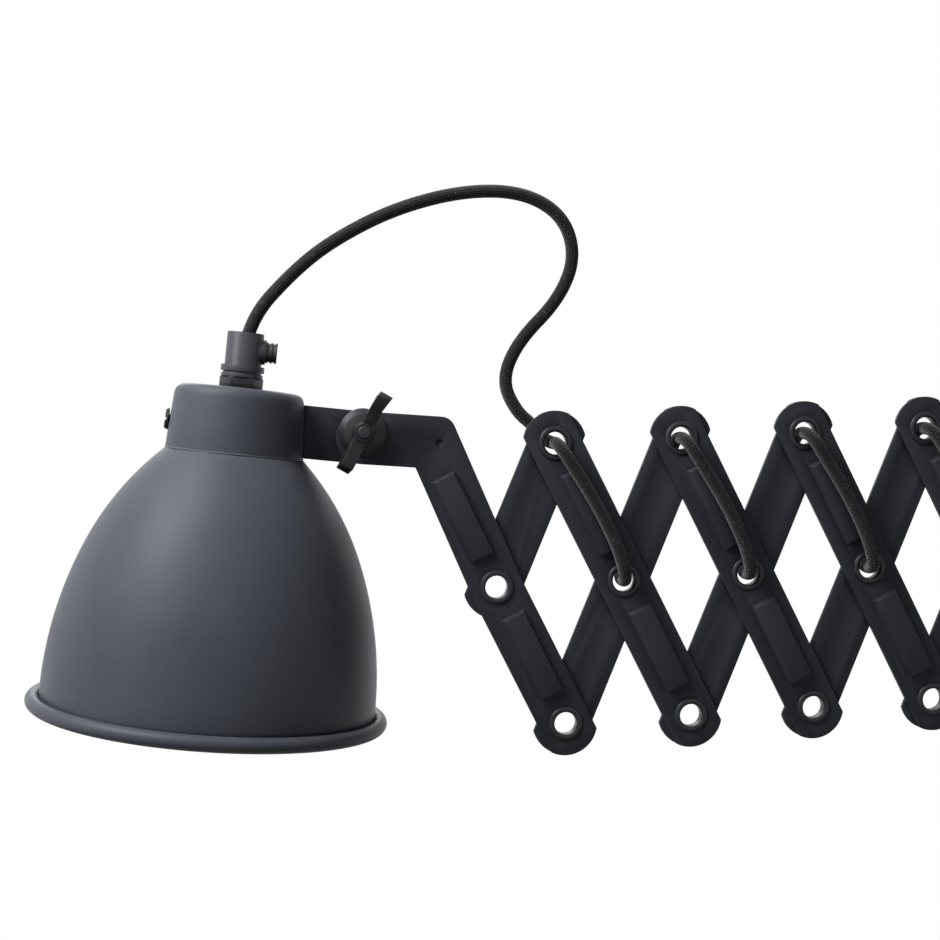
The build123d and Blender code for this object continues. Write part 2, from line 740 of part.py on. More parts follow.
bracket_face = wall_face.offset(plate_thickness)
for side, name in ((1, "upper_rod_bracket"), (-1, "lower_rod_bracket")):
    level = side * bracket_height
    foot_middle = level - side * (bracket_foot_height - bracket_thickness) / 2
    with BuildPart() as rod_bracket:
        with BuildSketch(bracket_face):
            with Locations((0, foot_middle)):
                Rectangle(bracket_foot_width, bracket_foot_height)
            with Locations(*[p for p in bracket_screw_places if p[1] * side > 0]):
                Circle(bracket_screw_radius + screw_play, mode=Mode.SUBTRACT)
        extrude(amount=bracket_foot_thickness)
        with BuildSketch(Plane.XY.offset(level - bracket_thickness / 2)):
            arm_start = -(plate_thickness + bracket_foot_thickness)
            with Locations(((arm_start + rod_x) / 2, 0)):
                Rectangle(arm_start - rod_x, bracket_width)
            with Locations((rod_x, 0)):
                Circle(bracket_width / 2)
                Circle(rod_radius + rivet_seat, mode=Mode.SUBTRACT)
        extrude(amount=bracket_thickness)
    save(rod_bracket.part, name)

with BuildPart() as bracket_screws:
    with BuildSketch(bracket_face.offset(bracket_foot_thickness)):
        with Locations(*bracket_screw_places):
            Circle(bracket_screw_head)
    extrude(amount=wall_head_height, taper=screw_taper)
    with BuildSketch(wall_face):
        with Locations(*bracket_screw_places):
            Circle(bracket_screw_radius)
    extrude(amount=plate_thickness + bracket_foot_thickness)
save(bracket_screws.part, "bracket_screws")

with BuildPart() as hinge_rod:
    with BuildSketch(Plane.XY.offset(-rod_reach)):
        with Locations((rod_x, 0)):
            Circle(rod_radius)
    extrude(amount=2 * rod_reach)
    chamfer(hinge_rod.edges().filter_by(GeomType.CIRCLE), rod_chamfer)
save(hinge_rod.part, "hinge_rod")

# Cap nuts clamp the rod to its brackets from outside.
nut_start = bracket_height + bracket_thickness / 2
dome_start = rod_reach + rod_nut_room
with BuildPart() as rod_nuts:
    for side in (1, -1):
        nut_level = Plane(origin=(rod_x, 0, side * nut_start), z_dir=(0, 0, side))
        with BuildSketch(nut_level):
            RegularPolygon(rod_nut_flats / 2, 6, major_radius=False)
        extrude(amount=rod_nut_height)
        with BuildSketch(nut_level.offset(rod_nut_height)):
            Circle(rod_nut_flats / 2 - rod_chamfer)
        extrude(amount=dome_start - nut_start - rod_nut_height + rod_nut_dome, taper=screw_taper)
        with BuildSketch(nut_level):
            Circle(rod_radius + screw_play)
        extrude(amount=dome_start - nut_start, mode=Mode.SUBTRACT)
save(rod_nuts.part, "rod_nuts")

rod_collar_low = half_height - collar_length / 2
with BuildPart() as stop_rings:
    for level in (rod_collar_low - collar_play - ring_height,
                  rod_collar_low + collar_length + collar_play):
        with BuildSketch(Plane.XY.offset(level)):
            with Locations((rod_x, 0)):
                Circle(collar_outer)
                Circle(rod_radius + rivet_seat, mode=Mode.SUBTRACT)
        extrude(amount=ring_height)
save(stop_rings.part, "stop_rings")


def rod_collar(place, ear_y, name, hole):
    """Collar on the rod, with a flat ear out to a link's end pivot."""
    with BuildPart() as collar:
        with BuildSketch(Plane.XY.offset(place[1] - collar_length / 2)):
            with Locations((rod_x, 0)):
                Circle(collar_outer)
        extrude(amount=collar_length)
        with BuildSketch(facing_plane(ear_y)):
            with Locations(((place[0] + rod_x) / 2, place[1])):
                Rectangle(ear_reach, collar_length)
            with Locations(place):
                Circle(half_width)
        extrude(amount=link_thickness)
        with BuildSketch(facing_plane(ear_y)):
            with Locations(place):
                Circle(hole)
        extrude(amount=link_thickness, mode=Mode.SUBTRACT)
        with BuildSketch(Plane.XY.offset(place[1] - collar_length)):
            with Locations((rod_x, 0)):
                Circle(rod_radius + collar_play)
        extrude(amount=2 * collar_length, mode=Mode.SUBTRACT)
    save(collar.part, name)


rod_collar(wall_top, -layer_gap, "upper_collar", rivet_outer + rivet_seat)
rod_collar(wall_bottom, rear_face, "lower_collar", rivet_outer + rivet_play)

cover_face = wall_face.offset(plate_thickness)
with BuildPart() as terminal_cover:
    with BuildSketch(cover_face):
        with Locations((0, cover_centre)):
            RectangleRounded(cover_width, cover_height, plate_corner)
    extrude(amount=cover_depth)
    fillet(terminal_cover.faces().sort_by(Axis.X)[0].edges(), cover_edge)
    with BuildSketch(cover_face):
        with Locations((0, cover_centre)):
            RectangleRounded(cover_width - 2 * cover_wall, cover_height - 2 * cover_wall,
                             plate_corner - cover_wall)
    extrude(amount=cover_depth - cover_wall, mode=Mode.SUBTRACT)
    with BuildSketch(cover_face):
        with Locations((0, gland_height)):
            Circle(gland_thread_radius + screw_play)
        with Locations(*cover_screw_places):
            Circle(bracket_screw_radius + screw_play)
    extrude(amount=cover_depth + 1, mode=Mode.SUBTRACT)
save(terminal_cover.part, "terminal_cover")

with BuildPart() as cover_screws:
    with BuildSketch(wall_face):
        with Locations(*cover_screw_places):
            Circle(bracket_screw_radius)
    extrude(amount=plate_thickness + cover_depth)
    with BuildSketch(cover_face.offset(cover_depth)):
        with Locations(*cover_screw_places):
            Circle(bracket_screw_head)
    extrude(amount=wall_head_height, taper=screw_taper)
save(cover_screws.part, "cover_screws")

with BuildPart() as terminal_block:
    block_middle = cover_centre - cover_height / 2 + block_low + block_size[2] / 2
    with BuildSketch(cover_face):
        with Locations((0, block_middle)):
            Rectangle(block_size[1], block_size[2])
        with Locations(cover_screw_places[1]):
            Circle(bracket_screw_radius + block_screw_room, mode=Mode.SUBTRACT)
    extrude(amount=block_size[0])
    with BuildSketch(cover_face.offset(block_size[0])):
        with Locations((0, block_middle)):
            with GridLocations(block_pitch, block_pitch, 3, 2):
                Circle(block_well_radius)
    extrude(amount=-block_well_depth, mode=Mode.SUBTRACT)
save(terminal_block.part, "terminal_block")

gland_face = cover_face.offset(cover_depth)
with BuildPart() as cord_gland:
    with BuildSketch(gland_face):
        with Locations((0, gland_height)):
            RegularPolygon(gland_radius, 6, major_radius=False)
    extrude(amount=gland_length)
    with BuildSketch(gland_face.offset(gland_length)):
        with Locations((0, gland_height)):
            Circle(gland_nose_radius)
    extrude(amount=gland_nose, taper=screw_taper)
    with BuildSketch(gland_face):
        with Locations((0, gland_height)):
            Circle(gland_thread_radius)
    extrude(amount=-gland_thread_length)
    with BuildSketch(gland_face.offset(-gland_thread_length)):
        with Locations((0, gland_height)):
            Circle(gland_bore)
    extrude(amount=gland_thread_length + gland_length + gland_nose, mode=Mode.SUBTRACT)
save(cord_gland.part, "cord_gland")


# ----------------------------------------------------------------------- cord
def make_cord(name, points):
    """Round cord on straight runs joined by the widest arcs that fit them."""
    radii = []
    for a, b, c in zip(points, points[1:], points[2:]):
        shorter = min((b - a).length, (c - b).length)
        turned = radians((b - a).get_angle(c - b))
        radii.append(corner_share * shorter / tan(turned / 2))
    with BuildPart() as cord:
        with BuildLine() as route:
            FilletPolyline(*points, radius=radii)
        with BuildSketch(Plane(origin=points[0], z_dir=points[1] - points[0])):
            Circle(cord_radius)
        sweep(path=route.line)
    length = sum(edge.length for edge in route.edges())
    fill = cord.part.volume / (pi * cord_radius**2 * length)
    print(name, "length", round(length, 1), "fill", round(fill, 4), "radii", [round(r, 1) for r in radii])
    save(cord.part, name)


def on_link(centre, direction, along, across, y):
    """Point beside a link: along it from its middle hole, across to the right, and y."""
    right = (direction[1], -direction[0])
    return Vector(centre[0] + along * direction[0] + across * right[0], y,
                  centre[1] + along * direction[1] + across * right[1])


def weave(centre, direction, side, bow, sway):
    """Cord from a link's middle eyelet to its upper one, on one side of the arm."""
    low = [(0, 0, 0), (0, 0, exit_run), (exit_step, sway[0], exit_rise), (bow_start, sway[1], bow_rise)]
    high = [(link_half - bow_start, sway[3], bow_rise), (link_half - exit_step, sway[4], exit_rise),
            (link_half, 0, exit_run), (link_half, 0, 0)]
    stations = low + [(link_half / 2, sway[2], bow_rise)] + high
    return [on_link(centre, direction, along, bow * share, side * off) for along, share, off in stations]


for k in range(1, crossings):
    make_cord(f"cord_front_{k}", weave(middle(k), up_left, -1, front_bow, front_sway))
for k in range(1, crossings):
    make_cord(f"cord_rear_{k}", weave(middle(k), up_right, 1, rear_bow, rear_sway))

# The free loop from the cord grip to the first upper eyelet, as (x, y, z) from the first crossing.
loop_points = [
    (-85.5, 0.0, 148.0), (-66.5, 0.5, 161.5), (-39.0, 1.0, 174.5), (-7.0, 2.0, 182.0),
    (20.5, 4.0, 181.0), (39.0, 6.0, 170.0), (44.5, 8.0, 151.0), (36.0, 9.5, 131.5),
    (16.0, 10.2, 112.5), (8.0, 10.6, 95.0), (14.0, 10.8, 80.5), (22.5, 10.6, 73.0),
]
loop = [first + Vector(*p) for p in loop_points]
loop_top = (loop[3] + loop[4]) / 2
eyelet = Vector(top(1)[0], 0, top(1)[1])
arrival = [eyelet + Vector(-3.6, exit_rise, 2.1), eyelet + Vector(0, exit_run, 0), eyelet]
grip_points = [rim_centre + head_up * height for height in (nipple_high, grip_top + grip_run)]
make_cord("cord_loop_lamp", grip_points + loop[:4] + [loop_top])
make_cord("cord_loop_arm", [loop_top] + loop[4:] + arrival)

# The tail from the wall pivot's eyelet to the gland, clear of the rod at every swing.
wall_eyelet = Vector(wall_top[0], 0, wall_top[1])
tail_points = [
    (-61.5, -10.2, 69.2), (-63.0, -12.5, 80.0), (-69.0, -13.5, 98.0), (-78.0, -12.0, 116.0),
    (-82.0, -8.0, 135.0), (-74.0, -4.0, 152.0), (-60.0, -0.5, 160.5), (-40.0, 0.0, 160.0),
    (-30.0, 0.0, 160.0),
]
make_cord("cord_tail", [wall_eyelet, wall_eyelet + Vector(0, -exit_run, 0)]
          + [Vector(*p) for p in tail_points])
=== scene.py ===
import json
import math

import bmesh
import bpy
from mathutils import Matrix, Vector

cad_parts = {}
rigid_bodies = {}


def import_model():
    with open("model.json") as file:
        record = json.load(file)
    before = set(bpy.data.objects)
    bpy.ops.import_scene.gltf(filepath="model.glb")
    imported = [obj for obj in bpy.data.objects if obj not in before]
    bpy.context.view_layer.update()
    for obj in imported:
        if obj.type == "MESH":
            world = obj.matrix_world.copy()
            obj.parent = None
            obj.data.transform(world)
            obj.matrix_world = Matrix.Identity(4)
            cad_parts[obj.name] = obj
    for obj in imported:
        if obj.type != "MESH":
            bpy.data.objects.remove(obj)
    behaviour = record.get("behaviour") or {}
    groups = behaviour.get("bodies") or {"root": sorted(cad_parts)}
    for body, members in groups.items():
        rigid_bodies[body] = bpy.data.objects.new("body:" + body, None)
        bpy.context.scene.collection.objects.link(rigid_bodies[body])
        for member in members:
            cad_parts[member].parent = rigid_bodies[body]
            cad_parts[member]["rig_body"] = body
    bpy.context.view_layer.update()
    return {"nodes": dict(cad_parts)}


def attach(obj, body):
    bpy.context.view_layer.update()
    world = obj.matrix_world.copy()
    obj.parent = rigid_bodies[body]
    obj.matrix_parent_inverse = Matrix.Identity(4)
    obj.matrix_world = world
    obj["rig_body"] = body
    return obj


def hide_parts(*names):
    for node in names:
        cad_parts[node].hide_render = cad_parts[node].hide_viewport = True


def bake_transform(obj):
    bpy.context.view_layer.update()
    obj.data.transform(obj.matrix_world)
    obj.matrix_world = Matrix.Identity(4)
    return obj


# Accordion wall lamp. Metres in the CAD's frame; lengths below are written in
# millimetres and turned into metres by mm().

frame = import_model()
NODES = frame["nodes"]


def mm(*values):
    scaled = [value * 0.001 for value in values]
    return scaled[0] if len(scaled) == 1 else Vector(scaled)


# ------------------------------------------------------- places from the CAD
LEAN = math.radians(24.7)
HALF = 71.5
PITCH = 2 * HALF * math.sin(LEAN)
RISE = HALF * math.cos(LEAN)
WALL_PIVOT = -61.0
CROSSINGS = 5


def middle(k):
    return (WALL_PIVOT - (CROSSINGS - 0.5 - k) * PITCH, 0.0)


def top(k):
    return (middle(k)[0] - HALF * math.sin(LEAN), RISE)


def bottom(k):
    return (middle(k)[0] + HALF * math.sin(LEAN), -RISE)


FIRST = middle(0)
TILT = (FIRST[0] - 58.5, 73.3)
HEAD_LEAN = math.radians(8.0)
HEAD_UP = Vector((math.sin(HEAD_LEAN), 0, math.cos(HEAD_LEAN)))
SEAM = 115.2
CAP_TOP = 144.3
EAR_OUT = 56.3
EAR_RISE = 15.0
RIM = (TILT[0] - EAR_OUT * HEAD_UP.z - (SEAM + EAR_RISE) * HEAD_UP.x,
       TILT[1] + EAR_OUT * HEAD_UP.x - (SEAM + EAR_RISE) * HEAD_UP.z)
UP_LEFT = (-math.sin(LEAN), math.cos(LEAN))
UP_RIGHT = (math.sin(LEAN), math.cos(LEAN))

# Local Z is the shade's axis, upwards from the middle of its rim.
HEAD_FRAME = (Matrix.Translation(mm(RIM[0], 0, RIM[1]))
              @ Matrix.Rotation(HEAD_LEAN, 4, "Y"))


def pivot_frame(place):
    """Local Z comes straight out of the arm's front."""
    return (Matrix.Translation(mm(place[0], 0, place[1]))
            @ Matrix.Rotation(math.pi / 2, 4, "X"))


# ------------------------------------------------------------------ materials
def node_tree(name):
    material = bpy.data.materials.new(name)
    material.use_nodes = True
    tree = material.node_tree
    tree.nodes.clear()
    out = tree.nodes.new("ShaderNodeOutputMaterial")
    shader = tree.nodes.new("ShaderNodeBsdfPrincipled")
    tree.links.new(shader.outputs[0], out.inputs[0])
    return material, tree, shader


def noise(tree, scale, detail, rough, stretch=(1, 1, 1)):
    """Cloudy value in the piece's own coordinates."""
    place = tree.nodes.new("ShaderNodeTexCoord")
    mapping = tree.nodes.new("ShaderNodeMapping")
    mapping.inputs["Scale"].default_value = stretch
    texture = tree.nodes.new("ShaderNodeTexNoise")
    texture.inputs["Scale"].default_value = scale
    texture.inputs["Detail"].default_value = detail
    texture.inputs["Roughness"].default_value = rough
    tree.links.new(place.outputs["Object"], mapping.inputs[0])
    tree.links.new(mapping.outputs[0], texture.inputs["Vector"])
    return texture.outputs[0]


def remap(tree, value, low, high, to_low, to_high):
    node = tree.nodes.new("ShaderNodeMapRange")
    for index, setting in enumerate((low, high, to_low, to_high), start=1):
        node.inputs[index].default_value = setting
    tree.links.new(value, node.inputs[0])
    return node.outputs[0]


def maths(tree, kind, *values):
    node = tree.nodes.new("ShaderNodeMath")
    node.operation = kind
    for index, value in enumerate(values):
        if isinstance(value, (int, float)):
            node.inputs[index].default_value = value
        else:
            tree.links.new(value, node.inputs[index])
    return node.outputs[0]


def blend_colour(tree, factor, first, second):
    node = tree.nodes.new("ShaderNodeMix")
    node.data_type = "RGBA"
    tree.links.new(factor, node.inputs["Factor"])
    for socket, value in zip((node.inputs[6], node.inputs[7]), (first, second)):
        if isinstance(value, (tuple, list)):
            socket.default_value = (*value, 1.0)
        else:
            tree.links.new(value, socket)
    return node.outputs[2]


def add_bump(tree, shader, height, distance, strength):
    bump = tree.nodes.new("ShaderNodeBump")
    bump.inputs["Strength"].default_value = strength
    bump.inputs["Distance"].default_value = distance
    tree.links.new(height, bump.inputs["Height"])
    tree.links.new(bump.outputs[0], shader.inputs["Normal"])


def vary_roughness(tree, shader, value, middle_value, spread):
    varied = remap(tree, value, 0, 1, middle_value - spread, middle_value + spread)
    tree.links.new(varied, shader.inputs["Roughness"])


EDGE_WIDTH = 0.0007
CREASE_SHADE_REACH = 0.004
CLOUD_SHARE = 0.65
SPECK_SHARE = 0.35


def edge_mask(tree, radius):
    """1 on an edge's rounding, 0 on flat ground."""
    bevel = tree.nodes.new("ShaderNodeBevel")
    bevel.samples = 4
    bevel.inputs["Radius"].default_value = radius
    plain = tree.nodes.new("ShaderNodeNewGeometry")
    dot = tree.nodes.new("ShaderNodeVectorMath")
    dot.operation = "DOT_PRODUCT"
    tree.links.new(bevel.outputs[0], dot.inputs[0])
    tree.links.new(plain.outputs["Normal"], dot.inputs[1])
    return remap(tree, dot.outputs["Value"], 0.995, 0.86, 0.0, 1.0)


def crease_shade(tree, distance, deepest):
    """1 on open ground, falling to the given value where surfaces meet: painted shade in creases,
    corners and gaps between parts.
    """
    near = tree.nodes.new("ShaderNodeAmbientOcclusion")
    near.samples = 4
    near.inputs["Distance"].default_value = distance
    return remap(tree, near.outputs["AO"], 0.35, 0.95, deepest, 1.0)


def paint(name, dark, light, worn, roughness, grain=0.00005, specular=0.12, wear=0.5,
          crease_shade_tone=0.45):
    """Matt powder coat: cloudy tone, fine grain, painted shade in the creases, and edges rubbed a
    little paler.
    """
    material, tree, shader = node_tree(name)
    cloud = remap(tree, noise(tree, 22, 5, 0.6), 0.35, 0.65, 0.0, 1.0)
    speck = remap(tree, noise(tree, 1300, 2, 0.5), 0.3, 0.7, 0.0, 1.0)
    tone = maths(tree, "ADD", maths(tree, "MULTIPLY", cloud, CLOUD_SHARE),
                 maths(tree, "MULTIPLY", speck, SPECK_SHARE))
    base = blend_colour(tree, tone, dark, light)
    patchy = remap(tree, noise(tree, 90, 4, 0.7), 0.42, 0.68, 0.0, wear)
    rubbed = maths(tree, "MULTIPLY", edge_mask(tree, EDGE_WIDTH), patchy)
    colour = blend_colour(tree, rubbed, base, worn)
    # Ambient occlusion darkens creases, corners and gaps between parts towards black: painted
    # shade.
    shaded = blend_colour(tree, crease_shade(tree, CREASE_SHADE_REACH, crease_shade_tone), (0.0, 0.0, 0.0), colour)
    tree.links.new(shaded, shader.inputs["Base Color"])
    vary_roughness(tree, shader, cloud, roughness, 0.06)
    shader.inputs["Specular IOR Level"].default_value = specular
    height = maths(tree, "ADD", noise(tree, 1500, 3, 0.6),
                   maths(tree, "MULTIPLY", noise(tree, 260, 2, 0.5), 1.5))
    add_bump(tree, shader, height, grain, 0.6)
    return material


def metal(name, colour, roughness, streak):
    material, tree, shader = node_tree(name)
    mottled = remap(tree, noise(tree, 400, 4, 0.6, stretch=(1, 1, streak)), 0.3, 0.7, 0.0, 1.0)
    pale = tuple(min(1.0, part * 1.25 + 0.01) for part in colour)
    tree.links.new(blend_colour(tree, mottled, colour, pale), shader.inputs["Base Color"])
    vary_roughness(tree, shader, mottled, roughness, 0.08)
    shader.inputs["Metallic"].default_value = 1.0
    add_bump(tree, shader, mottled, 0.00002, 0.5)
    return material


def plastic(name, dark, light, roughness):
    material, tree, shader = node_tree(name)
    fine = remap(tree, noise(tree, 900, 3, 0.6), 0.35, 0.65, 0.0, 1.0)
    tree.links.new(blend_colour(tree, fine, dark, light), shader.inputs["Base Color"])
    vary_roughness(tree, shader, fine, roughness, 0.05)
    add_bump(tree, shader, fine, 0.00003, 0.4)
    return material


THREADS_PER_METRE = 430
THREADS_AROUND = 8


def cloth(name, dark, light, fleck):
    """Braided sleeve: two families of threads wound round the cord, with pale flecks."""
    material, tree, shader = node_tree(name)
    uv = tree.nodes.new("ShaderNodeUVMap")
    split = tree.nodes.new("ShaderNodeSeparateXYZ")
    tree.links.new(uv.outputs[0], split.inputs[0])
    along = maths(tree, "MULTIPLY", split.outputs[0], 2 * math.pi * THREADS_PER_METRE)
    around = maths(tree, "MULTIPLY", split.outputs[1], 2 * math.pi * THREADS_AROUND)
    rising = maths(tree, "SINE", maths(tree, "ADD", along, around))
    falling = maths(tree, "SINE", maths(tree, "SUBTRACT", along, around))
    weave = remap(tree, maths(tree, "MULTIPLY", rising, falling), -1, 1, 0, 1)
    fuzz = noise(tree, 2600, 3, 0.7)
    height = maths(tree, "ADD", weave, maths(tree, "MULTIPLY", fuzz, 0.7))
    tone = maths(tree, "MULTIPLY", weave, remap(tree, fuzz, 0.3, 0.75, 0.3, 1.0))
    sleeve = blend_colour(tree, tone, dark, light)
    bright = remap(tree, noise(tree, 520, 2, 0.6), 0.58, 0.68, 0.0, 1.0)
    tip = remap(tree, weave, 0.62, 0.95, 0.0, 1.0)
    flecked = blend_colour(tree, maths(tree, "MULTIPLY", bright, tip), sleeve, fleck)
    tree.links.new(flecked, shader.inputs["Base Color"])
    shader.inputs["Roughness"].default_value = 0.85
    shader.inputs["Specular IOR Level"].default_value = 0.1
    shader.inputs["Sheen Weight"].default_value = 0.45
    shader.inputs["Sheen Roughness"].default_value = 0.5
    add_bump(tree, shader, height, 0.00035, 1.0)
    return material


MATERIALS = {
    "shade_paint": paint("shade_paint", (0.068, 0.075, 0.094), (0.088, 0.097, 0.119),
                         (0.16, 0.175, 0.20), 0.46, grain=0.00004, specular=0.2, wear=0.35,
                         crease_shade_tone=0.95),
    # Lighter copy of the shade paint for the bead in the joint: a painted highlight along the seam.
    "seam_highlight_paint": paint("seam_highlight_paint", (0.080, 0.088, 0.108), (0.110, 0.120, 0.144),
                        (0.18, 0.195, 0.22), 0.50, grain=0.00004, specular=0.2, wear=0.8,
                        crease_shade_tone=1.0),
    "black_steel": paint("black_steel", (0.006, 0.006, 0.007), (0.014, 0.014, 0.016),
                         (0.06, 0.06, 0.065), 0.45, grain=0.00003, specular=0.2, wear=0.5),
    "arm_paint": paint("arm_paint", (0.034, 0.0365, 0.047), (0.052, 0.055, 0.069),
                       (0.13, 0.14, 0.16), 0.5, wear=0.6),
    "bracket_paint": paint("bracket_paint", (0.024, 0.0255, 0.031), (0.036, 0.038, 0.046),
                           (0.09, 0.098, 0.112), 0.5, wear=0.5),
    "dark_steel": paint("dark_steel", (0.020, 0.021, 0.025), (0.036, 0.038, 0.045),
                        (0.11, 0.115, 0.13), 0.38, grain=0.00003, specular=0.25, wear=0.7),
    "wing_steel": paint("wing_steel", (0.010, 0.011, 0.0115), (0.018, 0.019, 0.020),
                        (0.10, 0.105, 0.11), 0.42, grain=0.00003, specular=0.2, wear=0.9),
    "grip_metal": paint("grip_metal", (0.060, 0.065, 0.076), (0.080, 0.086, 0.100),
                        (0.17, 0.175, 0.19), 0.40, grain=0.00003, specular=0.25, wear=0.6),
    "black_plastic": plastic("black_plastic", (0.010, 0.010, 0.011), (0.020, 0.020, 0.021), 0.42),
    "holder_plastic": plastic("holder_plastic", (0.012, 0.012, 0.013), (0.022, 0.022, 0.023), 0.35),
    "block_plastic": plastic("block_plastic", (0.60, 0.60, 0.56), (0.72, 0.72, 0.68), 0.45),
    "brass": metal("brass", (0.62, 0.44, 0.18), 0.3, streak=0.2),
    "cord_cloth": cloth("cord_cloth", (0.011, 0.011, 0.012), (0.027, 0.027, 0.030),
                        (0.24, 0.24, 0.245)),
}


# --------------------------------------------------------------- mesh helpers
WELD_GAP = 2e-6
FLAT_ANGLE = math.radians(0.6)
SHARP_ANGLE = math.radians(32.0)
SOFT_SMOOTH = 30.0
STRAIGHT_ANGLE = math.radians(176)


def new_piece(name, mesh, slot, body, nodes=(), smooth=35.0):
    piece = bpy.data.objects.new(name, mesh)
    bpy.context.scene.collection.objects.link(piece)
    mesh.materials.clear()
    mesh.materials.append(MATERIALS[slot])
    mesh.polygons.foreach_set("use_smooth", [True] * len(mesh.polygons))
    mesh.set_sharp_from_angle(angle=math.radians(smooth))
    if nodes:
        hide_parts(*nodes)
    if body:
        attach(piece, body)
    return piece


def clean_copy(node):
    """The CAD node's mesh with its seams closed and its flat ground merged."""
    bm = bmesh.new()
    bm.from_mesh(NODES[node].data)
    bmesh.ops.remove_doubles(bm, verts=bm.verts, dist=WELD_GAP)
    bmesh.ops.dissolve_limit(bm, angle_limit=FLAT_ANGLE, verts=bm.verts, edges=bm.edges)
    return bm


def soften(node, width, slot, steps=2):
    """Piece in place of a CAD node, with its sharp edges rounded off."""
    bm = clean_copy(node)
    sharp = [edge for edge in bm.edges
             if edge.is_manifold and edge.calc_face_angle(0.0) > SHARP_ANGLE]
    bmesh.ops.bevel(bm, geom=sharp, offset=mm(width), offset_type="OFFSET", segments=steps,
                    profile=0.5, affect="EDGES", clamp_overlap=True, harden_normals=False)
    mesh = bpy.data.meshes.new(node + "_shell")
    bm.to_mesh(mesh)
    bm.free()
    return new_piece(node + "_shell", mesh, slot, NODES[node]["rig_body"], [node], SOFT_SMOOTH)


def rounded(profile, radius, steps):
    """A closed profile with its corners turned on arcs; a corner may give its own radius."""
    result = []
    count = len(profile)
    for index in range(count):
        before = Vector(profile[index - 1][:2])
        corner = Vector(profile[index][:2])
        after = Vector(profile[(index + 1) % count][:2])
        own = profile[index][2] if len(profile[index]) > 2 else radius
        back, ahead = before - corner, after - corner
        turn = back.angle(ahead)
        if own <= 0 or turn > STRAIGHT_ANGLE:
            result.append(corner)
            continue
        cut = min(own / math.tan(turn / 2), 0.46 * back.length, 0.46 * ahead.length)
        first = corner + back.normalized() * cut
        last = corner + ahead.normalized() * cut
        for step in range(steps + 1):
            t = step / steps
            result.append(first * (1 - t) ** 2 + corner * 2 * t * (1 - t) + last * t ** 2)
    return result


def lathe(name, profile, place, slot, body, nodes=(), turns=64, smooth=35.0, thread=None):
    """Surface of revolution of a closed (radius, height) profile in millimetres about local Z."""
    bm = bmesh.new()
    rings = []
    for radius, height in profile:
        if radius < 1e-4:
            rings.append([bm.verts.new(mm(0, 0, height))])
            continue
        ring = []
        for step in range(turns):
            angle = 2 * math.pi * step / turns
            r = radius + (thread(radius, height, angle) if thread else 0.0)
            ring.append(bm.verts.new(mm(r * math.cos(angle), r * math.sin(angle), height)))
        rings.append(ring)
    for first, second in zip(rings, rings[1:] + rings[:1]):
        for step in range(turns):
            corners = [first[step % len(first)], first[(step + 1) % turns % len(first)],
                       second[(step + 1) % turns % len(second)], second[step % len(second)]]
            unique = list(dict.fromkeys(corners))
            if len(unique) > 2:
                bm.faces.new(unique)
    bmesh.ops.recalc_face_normals(bm, faces=bm.faces)
    bm.transform(place)
    mesh = bpy.data.meshes.new(name)
    bm.to_mesh(mesh)
    bm.free()
    return new_piece(name, mesh, slot, body, nodes, smooth)


def join(pieces, name):
    bm = bmesh.new()
    for piece in pieces:
        bm.from_mesh(piece.data)
    mesh = bpy.data.meshes.new(name)
    bm.to_mesh(mesh)
    bm.free()
    return mesh


# ----------------------------------------------------------------------- cord
CORD_RADIUS = 3.0
RING_STEP = 0.6
SIDES = 24


def spline_points(points):
    """Points along one smooth NURBS line whose control points are the cord's route."""
    curve = bpy.data.curves.new("route", "CURVE")
    curve.dimensions = "3D"
    spline = curve.splines.new("NURBS")
    spline.points.add(len(points) - 1)
    for control, point in zip(spline.points, points):
        control.co = (*point, 1.0)
    spline.order_u = 3
    spline.use_endpoint_u = True
    spline.resolution_u = 24
    holder = bpy.data.objects.new("route", curve)
    bpy.context.scene.collection.objects.link(holder)
    bpy.context.view_layer.update()
    line = bpy.data.meshes.new_from_object(holder)
    found = [vertex.co.copy() for vertex in line.vertices]
    bpy.data.objects.remove(holder)
    bpy.data.meshes.remove(line)
    return found


def evenly(points, step):
    """The same line with its points a fixed distance apart."""
    lengths = [0.0]
    for a, b in zip(points, points[1:]):
        lengths.append(lengths[-1] + (b - a).length)
    count = max(2, round(lengths[-1] / step))
    result, index = [], 0
    for number in range(count + 1):
        goal = lengths[-1] * number / count
        while index < len(points) - 2 and lengths[index + 1] < goal:
            index += 1
        span = max(1e-12, lengths[index + 1] - lengths[index])
        result.append(points[index].lerp(points[index + 1], (goal - lengths[index]) / span))
    return result, lengths[-1]


